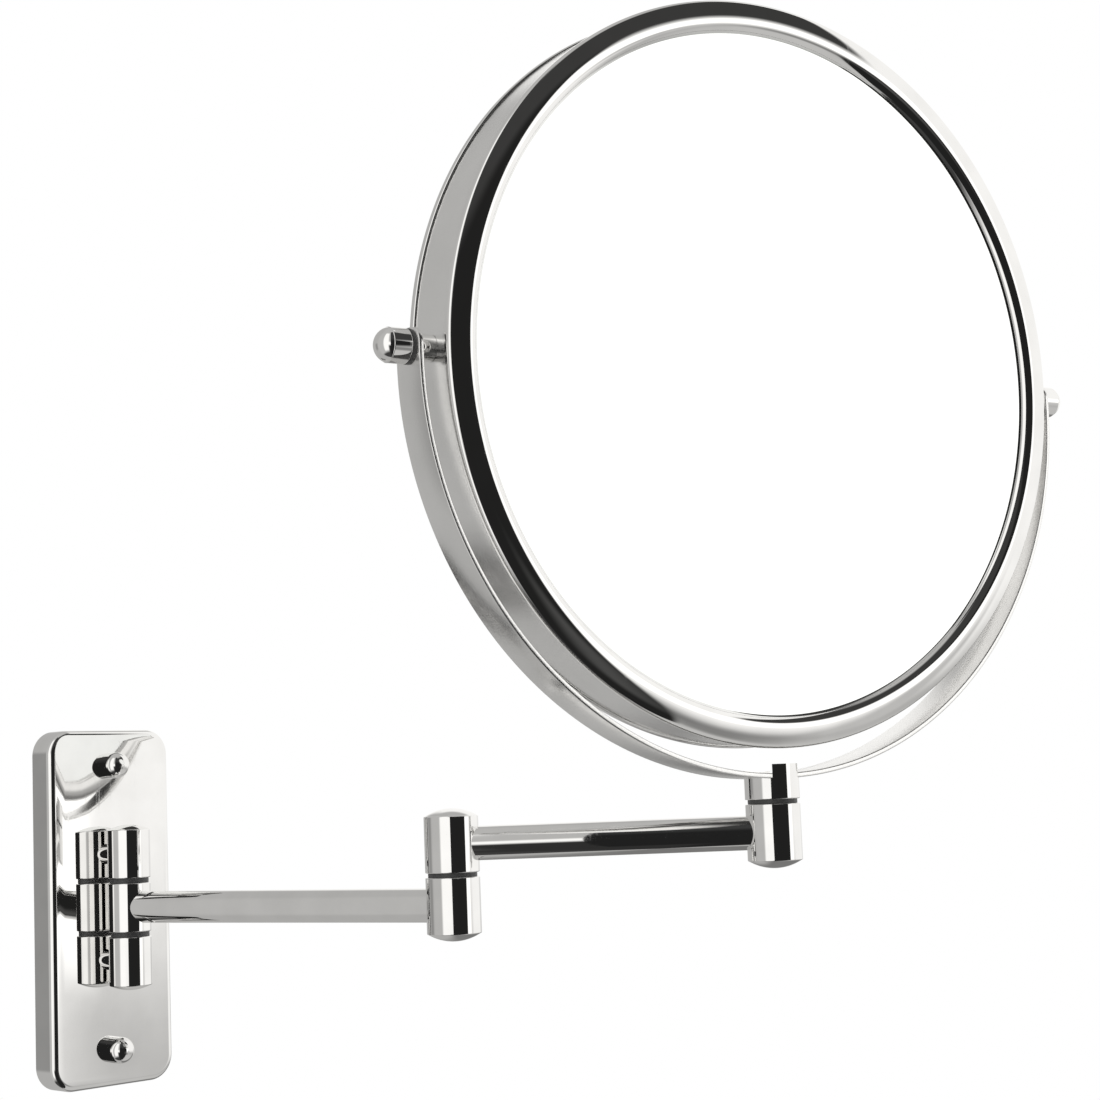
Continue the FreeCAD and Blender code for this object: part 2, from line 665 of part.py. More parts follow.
def pivot_knob(side):
    """Knob body on the stud: it draws the yoke's arm against the spacer."""
    axis = X_AXIS * side
    end = KNOB_START + KNOB_LENGTH
    knob = rounded_rod(KNOB_RADIUS, KNOB_START, end, EDGE_ROUND, EDGE_ROUND, axis)
    return knob.cut(rod(STUD_RADIUS, KNOB_START, end, axis))


def pivot_knob_cap(side):
    """Domed end of the knob, plugged into its bore."""
    axis = X_AXIS * side
    base = KNOB_START + KNOB_LENGTH
    cap = dome(KNOB_RADIUS - KNOB_CAP_INSET, KNOB_DOME, base, axis)
    return cap.fuse(rod(STUD_RADIUS, STUD_END, base, axis)).removeSplitter()


# The whole object

def fixed_nodes():
    nodes = {
        "wall_plate": (wall_plate(), WALL_FRAME),
        "wall_bracket": (wall_bracket(), WALL_FRAME),
        "bracket_bosses": (bracket_bosses(), WALL_FRAME),
        "hinge_peg_nuts": (hinge_peg_nuts(), WALL_FRAME),
        "wall_hinge_pin": (wall_hinge_pin(), HINGE_FRAME),
    }
    for name, end in ENDS.items():
        nodes["cap_screw_" + name] = (cap_screw(end), WALL_FRAME)
        nodes["hinge_peg_" + name] = (hinge_peg(end), WALL_FRAME)
        nodes["wall_knuckle_" + name] = (wall_knuckle(end), HINGE_FRAME)
        nodes["wall_hinge_cap_" + name] = (wall_hinge_cap(end), HINGE_FRAME)
        nodes["wall_hinge_washer_" + name] = (wall_hinge_washer(end), HINGE_FRAME)
    return nodes


def lower_arm_nodes():
    half = KNUCKLE_HEIGHT / 2
    return {
        "arm_hinge_knuckle": (arm_hinge_knuckle(), LOWER_ARM_FRAME),
        "lower_arm_tube": (arm_tube(LOWER_ARM_LENGTH, HINGE_SOCKET_FLOOR), LOWER_ARM_FRAME),
        "elbow_lower_knuckle": (elbow_lower_knuckle(), ELBOW_FRAME),
        "elbow_bottom_cap": (knuckle_cap(0, -half, -1), ELBOW_FRAME),
        "elbow_pin": (joint_pin(-half, ELBOW_NUT_FLOOR - TURNING_GAP, 1), ELBOW_FRAME),
        "elbow_washer": (tube(KNUCKLE_WASHER, PIN_RADIUS, half, UPPER_BOTTOM - TURNING_GAP), ELBOW_FRAME),
        "elbow_spring_washer": (joint_spring_washer(ELBOW_NUT_FLOOR, 1), ELBOW_FRAME),
        "elbow_lock_nut": (joint_lock_nut(ELBOW_NUT_FLOOR, 1), ELBOW_FRAME),
    }


def upper_arm_nodes():
    level = KNUCKLE_PITCH
    return {
        "elbow_upper_knuckle": (elbow_upper_knuckle(), UPPER_ARM_FRAME),
        "elbow_top_cap": (knuckle_cap(COUNTERBORE_RADIUS, UPPER_TOP, 1), UPPER_ARM_FRAME),
        "upper_arm_tube": (arm_tube(UPPER_ARM_LENGTH, KNUCKLE_SOCKET_FLOOR, level), UPPER_ARM_FRAME),
        "post_lower_knuckle": (post_lower_knuckle(), POST_ARM_FRAME),
        "post_bottom_cap": (knuckle_cap(COUNTERBORE_RADIUS, UPPER_BOTTOM, -1), POST_ARM_FRAME),
    }


def yoke_nodes():
    washer_start = UPPER_TOP + TURNING_GAP
    nodes = {
        "post_sleeve": (post_sleeve(), POST_FRAME),
        "post_pin": (post_pin(), POST_FRAME),
        "post_washer": (tube(KNUCKLE_WASHER, PIN_RADIUS, washer_start, SLEEVE_BOTTOM), POST_FRAME),
        "post_spring_washer": (joint_spring_washer(POST_NUT_FLOOR, -1), POST_FRAME),
        "post_lock_nut": (joint_lock_nut(POST_NUT_FLOOR, -1), POST_FRAME),
        "yoke_band": (yoke_band(), YOKE_FRAME),
        "yoke_screw": (yoke_screw(), YOKE_FRAME),
    }
    for name, side in SIDES.items():
        nodes["pivot_inner_washer_" + name] = (pivot_inner_washer(side), YOKE_FRAME)
        nodes["pivot_outer_washer_" + name] = (pivot_outer_washer(side), YOKE_FRAME)
    return nodes


def mirror_head_nodes():
    nodes = {
        "drum_band": (drum_band(), HEAD_FRAME),
        "front_bezel": (bezel(-1), HEAD_FRAME),
        "back_bezel": (bezel(1), HEAD_FRAME),
        "front_glass": (front_glass(), HEAD_FRAME),
        "back_glass": (back_glass(), HEAD_FRAME),
        "front_pad": (front_pad(), HEAD_FRAME),
        "back_pad": (back_pad(), HEAD_FRAME),
        "inner_frame": (inner_frame(), HEAD_FRAME),
    }
    for name, side in SIDES.items():
        nodes["pivot_insert_" + name] = (pivot_insert(side), HEAD_FRAME)
        nodes["pivot_stud_" + name] = (pivot_stud(side), HEAD_FRAME)
        nodes["pivot_spacer_" + name] = (pivot_spacer(side), HEAD_FRAME)
        nodes["pivot_knob_" + name] = (pivot_knob(side), HEAD_FRAME)
        nodes["pivot_knob_cap_" + name] = (pivot_knob_cap(side), HEAD_FRAME)
    return nodes


def write_node(name, shape, frame):
    """Put a node in its frame and write it; a list of shapes is a group of separate solids."""
    solids = []
    for piece in shape if isinstance(shape, list) else [shape]:
        placed = piece.copy()
        placed.Placement = frame.multiply(piece.Placement)
        solids.extend(placed.Solids)
    whole = solids[0] if len(solids) == 1 else Part.makeCompound(solids)
    whole.exportStep(os.path.join("parts", name + ".step"))


def main():
    os.makedirs("parts", exist_ok=True)
    for group in (fixed_nodes, lower_arm_nodes, upper_arm_nodes, yoke_nodes, mirror_head_nodes):
        for name, (shape, frame) in group().items():
            write_node(name, shape, frame)


main()
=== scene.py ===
import json
import math
from collections import namedtuple

import bmesh
import bpy
from mathutils import Matrix, Vector

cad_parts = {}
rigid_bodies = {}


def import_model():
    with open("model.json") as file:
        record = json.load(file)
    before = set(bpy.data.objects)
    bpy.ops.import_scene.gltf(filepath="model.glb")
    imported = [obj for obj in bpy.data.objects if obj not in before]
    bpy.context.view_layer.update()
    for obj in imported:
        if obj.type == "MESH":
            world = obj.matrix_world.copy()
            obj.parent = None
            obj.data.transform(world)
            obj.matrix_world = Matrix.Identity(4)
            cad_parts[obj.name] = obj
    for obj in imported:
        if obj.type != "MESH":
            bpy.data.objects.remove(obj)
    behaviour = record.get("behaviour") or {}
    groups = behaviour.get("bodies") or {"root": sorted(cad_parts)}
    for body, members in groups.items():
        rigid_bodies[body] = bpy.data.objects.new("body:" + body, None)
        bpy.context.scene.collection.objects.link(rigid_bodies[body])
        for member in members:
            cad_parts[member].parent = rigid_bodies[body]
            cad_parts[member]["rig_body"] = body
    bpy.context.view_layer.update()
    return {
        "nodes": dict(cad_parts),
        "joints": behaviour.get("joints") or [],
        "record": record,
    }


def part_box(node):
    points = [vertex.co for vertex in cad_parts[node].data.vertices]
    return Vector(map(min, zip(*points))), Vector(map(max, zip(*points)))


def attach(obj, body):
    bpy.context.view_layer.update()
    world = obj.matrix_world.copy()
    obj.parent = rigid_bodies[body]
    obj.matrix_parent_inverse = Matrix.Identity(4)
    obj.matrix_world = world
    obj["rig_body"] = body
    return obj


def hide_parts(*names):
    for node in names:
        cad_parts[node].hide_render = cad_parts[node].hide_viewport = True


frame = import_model()
slots = {part["node"]: part["material_slot"] for part in frame["record"]["subparts"]}

MM = 0.001

# Camera, in the row frame. Angles are in degrees, the near limit is in metres, and the lens and
# the sensor are in mm.
CAMERA_PLACE = Vector((-401.3, -598.8, 34.2)) * MM
CAMERA_YAW = 46.09
CAMERA_PITCH = 6.25
CAMERA_ROLL = 2.21
CAMERA_LENS = 69.7
CAMERA_SENSOR = 36
CAMERA_NEAR = 0.01

# Floor, in metres
FLOOR_RADIUS = 1.8
FLOOR_SIDES = 96
FLOOR_PLACE = Vector((50, -100, -360)) * MM

# Strips that were rolled and bent, so their plating isn't buffed
ROLLED_NODES = ("yoke_band", "drum_band")

# Studio seen in the chrome: soft-edged patches of the surroundings, each laid over the ones
# before it. Angles are in degrees; azimuth 0 is straight out of the wall. The right edge leans:
# it moves by its lean for each degree of elevation.
STUDIO_TINT = (1.0, 0.992, 0.975, 1)
STUDIO_BASE = 0.46
Patch = namedtuple("Patch", "left right lean low high side_soft end_soft glow")
STUDIO = [
    Patch(-200, 200, 0, -95, -16, 8, 10, 0.44),  # floor
    Patch(-134, -88, 0, -70, 75, 12, 12, 0.5),  # left wall
    Patch(-158, -138, 0, -14, 10, 6, 5, 0.29),  # grey door
    Patch(96, 140, 0, -95, -15, 8, 5, 0.2),  # floor on the right
    Patch(96, 148, 0, -3, 42, 6, 6, 1.0),  # window at the back
    Patch(14, 96, 0, -96, -26, 8, 12, 0.55),  # low table
    Patch(-92, -38, 0, -40, 68, 5, 8, 1.08),  # light box on the left
    Patch(12, 100, 0, -13, 74, 6, 9, 1.0),  # light box on the right
    Patch(9, 30, 0, -34, -19, 9, 5, 0.24),  # table's edge
    Patch(31, 44, 0, -22, -4, 4, 4, 0.55),  # gap under the right box
    Patch(-58, -44, 0, 9, 72, 4, 6, 0.5),  # shade on the left box
    Patch(-130, -40, 0, -96, -50, 10, 7, 0.05),  # dark rug
    Patch(-60, -30, 0, -96, -10, 6, 8, 0.03),  # dark corner
    Patch(-46, 16, 0.06, -82, 34, 1.2, 8, 0.016),  # dark room
    Patch(0, 15, 0.06, -26, -8, 7, 4, 0.07),  # greyer part of the room
    Patch(-46, 13, 0.9, 22, 84, 1.5, 4, 0.045),  # dark ceiling
    Patch(-200, 200, 0, 64, 96, 10, 8, 0.5),  # grey overhead
    Patch(16.5, 33.5, 0, -5, 19.5, 0.8, 1.2, 1.25),  # white card in front
]

# Dark stand behind the camera. It is close, so each knuckle sees its edge in another direction.
# Heights are in metres; between the two fade heights it goes from one glow to the other.
STAND_EDGE = Vector((-519, -638, 0)) * MM
STAND_END = Vector((-300, -760, 0)) * MM
STAND_LOW = -1.2
STAND_HIGH = 2.4
STAND_FADE_START = 0.25
STAND_FADE_END = 0.55
STAND_GLOW = 0.016
STAND_TOP_GLOW = 0.045

# Colours; a pattern in the surface goes from the first of each pair to the second
WHITE = (1, 1, 1, 1)
CHROME_CLEAR, CHROME_HAZED = (0.92, 0.915, 0.905, 1), (0.87, 0.865, 0.855, 1)
ROLLED_LIGHT, ROLLED_DARK = (0.93, 0.925, 0.915, 1), (0.88, 0.875, 0.865, 1)
SILVER_CLEAN, SILVER_WIPED = (0.96, 0.97, 0.965, 1), (0.93, 0.945, 0.94, 1)
ZINC_LIGHT, ZINC_DARK = (0.62, 0.63, 0.64, 1), (0.48, 0.48, 0.47, 1)
BRASS_LIGHT, BRASS_DARK = (0.82, 0.64, 0.32, 1), (0.68, 0.5, 0.22, 1)
NYLON_LIGHT, NYLON_DARK = (0.1, 0.1, 0.1, 1), (0.07, 0.07, 0.072, 1)
ABS_LIGHT, ABS_DARK = (0.03, 0.03, 0.032, 1), (0.02, 0.02, 0.021, 1)
# Foam: painted shade, darker in the cells' hollows and lighter on their ridges
FOAM_SHADED_PITS, FOAM_LIT_RIDGES = (0.015, 0.015, 0.016, 1), (0.06, 0.06, 0.062, 1)
FLOOR_LIGHT, FLOOR_DARK = (0.88, 0.88, 0.87, 1), (0.84, 0.84, 0.83, 1)

# Sizes of the finer pieces, in mm and degrees, as in the part's source. The middle of the yoke's
# strip is half its thickness inside its outer face.
HEAD_TILT = 2.0
CREST_RADIUS = 103.7
CREST_HEIGHT = 12.3
LIP_ROUND = 3.4
LIP_ANGLE = 71.0
CROWN_ROUND = 15.3
CROWN_ANGLE = 20.3
RIM_ROUND = 1.53
SKIRT_END = 8.4
DRUM_SHEET = 0.8
GLASS_RADIUS = 103.5
GLASS_THICKNESS = 3.0
GLASS_FACE = 9.7
DISH_RADIUS = 99.5
DISH_DEPTH = 6.5
YOKE_MIDDLE = 115.45
YOKE_THICKNESS = 1.5
YOKE_WIDTH = 13.0
YOKE_EDGE_ROUND = 0.35
YOKE_DROP = 2.7
YOKE_TIP = 5.0
YOKE_TIP_ROUND = 4.9
PLATE_CORNER = 8.0
PLATE_EDGE_ROUND = 2.2
PLATE_WALL = 1.8

# Sizes that only the looks have: the skirt's rounded edge, and the step beside the glass's hollow
SKIRT_ROUND = 0.75
DISH_RIM_STEP = 0.2

# How finely the pieces are divided, and the angle in degrees from which an edge is sharp
LIP_STEPS = 24
CROWN_STEPS = 16
RIM_STEPS = 14
BEZEL_STEPS = 480
DISH_STEPS = 48
DISH_SIDES = 240
YOKE_STEPS = 240
YOKE_EDGE_STEPS = 5
CORNER_STEPS = 24
EDGE_STEPS = 12
SHARP_ANGLE = 35


class Nodes:
    """Small helper that builds a node tree out of sockets."""

    def __init__(self, tree):
        self.tree = tree
        tree.nodes.clear()

    def add(self, kind, **settings):
        node = self.tree.nodes.new(kind)
        for name, value in settings.items():
            setattr(node, name, value)
        return node

    def link(self, source, target):
        self.tree.links.new(source, target)

    def feed(self, socket, value):
        if isinstance(value, bpy.types.NodeSocket):
            self.link(value, socket)
        else:
            socket.default_value = value

    def math(self, operation, *values):
        node = self.add("ShaderNodeMath", operation=operation)
        for socket, value in zip(node.inputs, values):
            self.feed(socket, value)
        return node.outputs[0]

    def smooth(self, value, low, high):
        """0 below low, 1 above high, and a smooth step between."""
        node = self.add("ShaderNodeMapRange", interpolation_type="SMOOTHSTEP")
        self.feed(node.inputs["Value"], value)
        node.inputs["From Min"].default_value = low
        node.inputs["From Max"].default_value = high
        return node.outputs["Result"]

    def band(self, low_value, low, high_value, high, soft):
        """1 where one value is above low and the other below high, with soft edges."""
        inside = self.smooth(low_value, low - soft, low + soft)
        beyond = self.smooth(high_value, high - soft, high + soft)
        return self.math("MULTIPLY", inside, self.math("SUBTRACT", 1.0, beyond))

    def lean(self, azimuth, elevation, amount):
        """Azimuth less its share of the elevation, so that a fixed edge in it leans."""
        if amount == 0:
            return azimuth
        return self.math("SUBTRACT", azimuth, self.math("MULTIPLY", elevation, amount))

    def noise(self, scale, detail, stretch=(1, 1, 1)):
        """Noise about 0.5, between 0 and 1, in the piece's own coordinates; scale in 1/m."""
        place = self.add("ShaderNodeTexCoord").outputs["Object"]
        spread = self.add("ShaderNodeMapping")
        spread.inputs["Scale"].default_value = stretch
        self.link(place, spread.inputs["Vector"])
        node = self.add("ShaderNodeTexNoise")
        self.link(spread.outputs[0], node.inputs["Vector"])
        node.inputs["Scale"].default_value = scale
        node.inputs["Detail"].default_value = detail
        return node.outputs["Fac"]

    def ramp(self, value, low, high, out_low=0.0, out_high=1.0):
        """Value spread from one range to another, held at both ends."""
        node = self.add("ShaderNodeMapRange", clamp=True)
        self.feed(node.inputs["Value"], value)
        node.inputs["From Min"].default_value = low
        node.inputs["From Max"].default_value = high
        node.inputs["To Min"].default_value = out_low
        node.inputs["To Max"].default_value = out_high
        return node.outputs["Result"]

    def blend(self, factor, first, second):
        """Colour that goes from first to second."""
        node = self.add("ShaderNodeMix", data_type="RGBA")
        colours = [socket for socket in node.inputs if socket.type == "RGBA"]
        self.feed(node.inputs["Factor"], factor)
        for socket, colour in zip(colours, (first, second)):
            self.feed(socket, colour)
        return next(socket for socket in node.outputs if socket.type == "RGBA")

    def bump(self, height, strength, distance):
        """Normal bent by a height; distance in metres."""
        node = self.add("ShaderNodeBump")
        node.inputs["Strength"].default_value = strength
        node.inputs["Distance"].default_value = distance
        self.link(height, node.inputs["Height"])
        return node.outputs["Normal"]

    def mix(self, factor, first, second):
        """Number that goes from first to second."""
        node = self.add("ShaderNodeMix", data_type="FLOAT")
        self.feed(node.inputs["Factor"], factor)
        self.feed(node.inputs["A"], first)
        self.feed(node.inputs["B"], second)
        return node.outputs["Result"]


def build_world():
    """White to the camera, and the studio to everything else."""
    world = bpy.data.worlds.new("studio")
    world.use_nodes = True
    bpy.context.scene.world = world
    n = Nodes(world.node_tree)
    direction = n.add("ShaderNodeTexCoord").outputs["Generated"]
    split = n.add("ShaderNodeSeparateXYZ")
    n.link(direction, split.inputs[0])
    x, y, z = split.outputs
    azimuth = n.math("DEGREES", n.math("ARCTAN2", x, n.math("MULTIPLY", y, -1.0)))
    elevation = n.math("DEGREES", n.math("ARCSINE", z))
    level = STUDIO_BASE
    for patch in STUDIO:
        leaning = n.lean(azimuth, elevation, patch.lean)
        across = n.band(azimuth, patch.left, leaning, patch.right, patch.side_soft)
        upright = n.band(elevation, patch.low, elevation, patch.high, patch.end_soft)
        level = n.mix(n.math("MULTIPLY", across, upright), level, patch.glow)
    reflected = n.add("ShaderNodeBackground")
    reflected.inputs["Color"].default_value = STUDIO_TINT
    n.link(level, reflected.inputs["Strength"])
    seen = n.add("ShaderNodeBackground")
    seen.inputs["Color"].default_value = WHITE
    chosen = n.add("ShaderNodeMixShader")
    n.link(n.add("ShaderNodeLightPath").outputs["Is Camera Ray"], chosen.inputs[0])
    n.link(reflected.outputs[0], chosen.inputs[1])
    n.link(seen.outputs[0], chosen.inputs[2])
    out = n.add("ShaderNodeOutputWorld")
    n.link(chosen.outputs[0], out.inputs[0])


def build_camera():
    """Camera turned by its yaw, then its pitch, then its roll."""
    yaw, pitch, roll = (math.radians(a) for a in (CAMERA_YAW, CAMERA_PITCH, CAMERA_ROLL))
    level_forward = Vector((math.sin(yaw), math.cos(yaw), 0))
    forward = level_forward * math.cos(pitch) + Vector((0, 0, math.sin(pitch)))
    level_right = Vector((math.cos(yaw), -math.sin(yaw), 0))
    level_up = level_right.cross(forward)
    right = level_right * math.cos(roll) - level_up * math.sin(roll)
    up = level_right * math.sin(roll) + level_up * math.cos(roll)
    data = bpy.data.cameras.new("camera")
    data.lens = CAMERA_LENS
    data.sensor_fit = "HORIZONTAL"
    data.sensor_width = CAMERA_SENSOR
    data.clip_start = CAMERA_NEAR
    camera = bpy.data.objects.new("camera", data)
    bpy.context.collection.objects.link(camera)
    turn = Matrix((right, up, -forward)).transposed().to_4x4()
    camera.matrix_world = Matrix.Translation(CAMERA_PLACE) @ turn
    bpy.context.scene.camera = camera


def material(name):
    made = bpy.data.materials.new(name)
    made.use_nodes = True
    n = Nodes(made.node_tree)
    shader = n.add("ShaderNodeBsdfPrincipled")
    out = n.add("ShaderNodeOutputMaterial")
    n.link(shader.outputs[0], out.inputs[0])
    return made, n, shader


def metal(name):
    made, n, shader = material(name)
    shader.inputs["Metallic"].default_value = 1.0
    return made, n, shader


def polished_chrome():
    """Bright plating: a faint ripple in its reflections, a light haze and hairline marks."""
    made, n, shader = metal("polished_chrome")
    haze = n.ramp(n.noise(scale=90, detail=3), low=0.35, high=0.7)
    n.link(n.blend(haze, CHROME_CLEAR, CHROME_HAZED), shader.inputs["Base Color"])
    hairlines = n.noise(scale=700, detail=2, stretch=(1, 1, 0.06))
    marks = n.ramp(hairlines, low=0.58, high=0.72, out_high=0.05)
    hazy = n.ramp(haze, low=0, high=1, out_low=0.015, out_high=0.035)
    n.link(n.math("ADD", hazy, marks), shader.inputs["Roughness"])
    ripple = n.noise(scale=110, detail=1)
    n.link(n.bump(ripple, strength=0.5, distance=0.00001), shader.inputs["Normal"])
    return made


def rolled_chrome():
    """Plated strip that was rolled, not buffed: satin, with a fine grain."""
    made, n, shader = metal("rolled_chrome")
    cloud = n.ramp(n.noise(scale=60, detail=3), low=0.3, high=0.7)
    n.link(n.blend(cloud, ROLLED_LIGHT, ROLLED_DARK), shader.inputs["Base Color"])
    grain = n.noise(scale=2600, detail=2)
    satin = n.ramp(grain, low=0.3, high=0.7, out_low=0.16, out_high=0.26)
    n.link(satin, shader.inputs["Roughness"])
    n.link(n.bump(grain, strength=0.15, distance=0.00001), shader.inputs["Normal"])
    return made


def silvered_glass():
    """Mirror glass: a clean silver coat, with a trace of wiping marks on its surface."""
    made, n, shader = metal("silvered_glass")
    shader.inputs["Coat Weight"].default_value = 0.25
    wiped = n.ramp(n.noise(scale=40, detail=3, stretch=(1, 1, 0.3)), low=0.4, high=0.75)
    n.link(n.blend(wiped, SILVER_CLEAN, SILVER_WIPED), shader.inputs["Base Color"])
    n.link(n.ramp(wiped, low=0, high=1, out_high=0.012), shader.inputs["Roughness"])
    return made


def zinc_steel():
    """Zinc-plated steel: dull, with soft cloudy patches."""
    made, n, shader = metal("zinc_steel")
    cloud = n.ramp(n.noise(scale=300, detail=4), low=0.35, high=0.65)
    n.link(n.blend(cloud, ZINC_LIGHT, ZINC_DARK), shader.inputs["Base Color"])
    dull = n.ramp(cloud, low=0, high=1, out_low=0.28, out_high=0.45)
    n.link(dull, shader.inputs["Roughness"])
    crystals = n.noise(scale=1800, detail=2)
    n.link(n.bump(crystals, strength=0.4, distance=0.00003), shader.inputs["Normal"])
    return made


def brass():
    """Turned brass with fine tool marks."""
    made, n, shader = metal("turned_brass")
    turning = n.noise(scale=1500, detail=2, stretch=(0.1, 1, 1))
    n.link(n.blend(turning, BRASS_LIGHT, BRASS_DARK), shader.inputs["Base Color"])
    marks = n.ramp(turning, low=0.3, high=0.7, out_low=0.2, out_high=0.38)
    n.link(marks, shader.inputs["Roughness"])
    return made


def moulded(name, light, dark, smoothest, roughest, grain_scale):
    """Moulded plastic: fine grain and slightly uneven colour."""
    made, n, shader = material(name)
    grain = n.noise(scale=grain_scale, detail=3)
    uneven = n.ramp(n.noise(scale=120, detail=2), low=0.3, high=0.7)
    n.link(n.blend(uneven, light, dark), shader.inputs["Base Color"])
    rough = n.ramp(grain, low=0.3, high=0.7, out_low=smoothest, out_high=roughest)
    n.link(rough, shader.inputs["Roughness"])
    n.link(n.bump(grain, strength=0.4, distance=0.00004), shader.inputs["Normal"])
    return made


def foam():
    """Black cellular foam tape, with painted shade in the hollows of its cells."""
    made, n, shader = material("foam")
    cells = n.add("ShaderNodeTexVoronoi")
    cells.inputs["Scale"].default_value = 1400
    n.link(n.add("ShaderNodeTexCoord").outputs["Object"], cells.inputs["Vector"])
    depth = cells.outputs["Distance"]
    # Painted shade: the colour darkens towards the middle of each cell, where the bump is lowest
    lit_ridges = n.ramp(depth, low=0, high=0.8)
    n.link(n.blend(lit_ridges, FOAM_SHADED_PITS, FOAM_LIT_RIDGES), shader.inputs["Base Color"])
    rough = n.ramp(depth, low=0, high=0.8, out_low=0.95, out_high=0.8)
    n.link(rough, shader.inputs["Roughness"])
    n.link(n.bump(depth, strength=0.8, distance=0.0002), shader.inputs["Normal"])
    return made


def build_floor():
    """Pale matt floor, kept out of the chrome so that only the studio shows in it."""
    mesh = bpy.data.meshes.new("floor")
    ring = []
    for step in range(FLOOR_SIDES):
        turn = math.tau * step / FLOOR_SIDES
        ring.append((FLOOR_RADIUS * math.cos(turn), FLOOR_RADIUS * math.sin(turn), 0))
    mesh.from_pydata(ring, [], [list(range(FLOOR_SIDES))])
    floor = bpy.data.objects.new("floor", mesh)
    floor.location = FLOOR_PLACE
    bpy.context.collection.objects.link(floor)
    made, n, shader = material("pale_floor")
    speckle = n.ramp(n.noise(scale=35, detail=4), low=0.3, high=0.7)
    n.link(n.blend(speckle, FLOOR_LIGHT, FLOOR_DARK), shader.inputs["Base Color"])
    matt = n.ramp(speckle, low=0, high=1, out_low=0.8, out_high=0.95)
    n.link(matt, shader.inputs["Roughness"])
    mesh.materials.append(made)
    floor.visible_glossy = False


def build_stand():
    """Dark upright panel that only the reflections see; its upper part is a little lighter."""
    mesh = bpy.data.meshes.new("stand")
    low, high = Vector((0, 0, STAND_LOW)), Vector((0, 0, STAND_HIGH))
    corners = [STAND_EDGE + low, STAND_END + low, STAND_END + high, STAND_EDGE + high]
    mesh.from_pydata(corners, [], [(0, 1, 2, 3)])
    stand = bpy.data.objects.new("stand", mesh)
    bpy.context.collection.objects.link(stand)
    made = bpy.data.materials.new("dark_stand")
    made.use_nodes = True
    n = Nodes(made.node_tree)
    height = n.add("ShaderNodeSeparateXYZ")
    n.link(n.add("ShaderNodeTexCoord").outputs["Object"], height.inputs[0])
    glow = n.add("ShaderNodeEmission")
    strength = n.ramp(height.outputs["Z"], STAND_FADE_START, STAND_FADE_END,
                      STAND_GLOW, STAND_TOP_GLOW)
    n.link(strength, glow.inputs["Strength"])
    n.link(glow.outputs[0], n.add("ShaderNodeOutputMaterial").inputs[0])
    mesh.materials.append(made)
    stand.visible_camera = False
    stand.visible_diffuse = False
    stand.visible_shadow = False


# Finer pieces in place of the CAD nodes whose curves show in the reflections

def head_frame(tilt=0.0):
    """Matrix at the mirror's tilt axis: X along the axis, turned about it by a tilt."""
    joints = {joint["name"]: joint for joint in frame["joints"]}
    across = Vector(joints["mirror_tilt"]["axis"]).normalized()
    back = Vector((0, 0, 1)).cross(across).normalized()
    turn = Matrix((across, back, across.cross(back))).transposed().to_4x4()
    place = Matrix.Translation(Vector(joints["mirror_tilt"]["pos_m"]))
    return place @ turn @ Matrix.Rotation(math.radians(tilt), 4, "X")


def add_piece(name, points, faces, place, node, surface):
    """Smooth mesh in place of a CAD node, on the same body and with the surface it is given; points
    in mm.
    """
    mesh = bpy.data.meshes.new(name)
    mesh.from_pydata([place @ (Vector(point) * MM) for point in points], [], faces)
    bm = bmesh.new()
    bm.from_mesh(mesh)
    bmesh.ops.recalc_face_normals(bm, faces=bm.faces)
    bm.to_mesh(mesh)
    bm.free()
    mesh.shade_smooth()
    mesh.set_sharp_from_angle(angle=math.radians(SHARP_ANGLE))
    mesh.materials.append(surface)
    piece = bpy.data.objects.new(name, mesh)
    bpy.context.collection.objects.link(piece)
    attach(piece, frame["nodes"][node]["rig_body"])
    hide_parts(node)


def ring_faces(rings, size, closed=False):
    """Quads between rings of points that follow each other.

    Closed joins the last ring to the first. Otherwise the first and last rings get a lid.
    """
    faces = []
    for ring in range(rings if closed else rings - 1):
        after = (ring + 1) % rings
        for k in range(size):
            beside = (k + 1) % size
            faces.append((ring * size + k, ring * size + beside,
                          after * size + beside, after * size + k))
    if not closed:
        last = (rings - 1) * size
        faces += [tuple(range(size)), tuple(range(last, last + size))]
    return faces


def arc_points(centre, radius, start, end, steps):
    """Points on an arc; angles in degrees from the second axis towards the first."""
    points = []
    for step in range(steps + 1):
        turn = math.radians(start + (end - start) * step / steps)
        points.append((centre[0] + radius * math.sin(turn), centre[1] + radius * math.cos(turn)))
    return points


def rounded_rectangle(half_width, half_height, corner, steps):
    """Rectangle about the origin with round corners: (across, up) points."""
    points = []
    flat, rise = half_width - corner, half_height - corner
    centres = ((flat, rise), (flat, -rise), (-flat, -rise), (-flat, rise))
    for quarter, centre in enumerate(centres):
        points += arc_points(centre, corner, 90 * quarter, 90 * quarter + 90, steps)
    return points


def bezel_skin(inset):
    """Bezel's section at an inset from its outer skin, without its edge: (radius, height)."""
    crown = math.radians(CROWN_ANGLE)
    reach = CROWN_ROUND - RIM_ROUND
    lip_centre = (CREST_RADIUS, CREST_HEIGHT - LIP_ROUND)
    crown_centre = (CREST_RADIUS, CREST_HEIGHT - CROWN_ROUND)
    rim_centre = (crown_centre[0] + reach * math.sin(crown),
                  crown_centre[1] + reach * math.cos(crown))
    points = arc_points(lip_centre, LIP_ROUND - inset, -LIP_ANGLE, 0, LIP_STEPS)
    points += arc_points(crown_centre, CROWN_ROUND - inset, 0, CROWN_ANGLE, CROWN_STEPS)[1:]
    points += arc_points(rim_centre, RIM_ROUND - inset, CROWN_ANGLE, 90, RIM_STEPS)[1:]
    return points


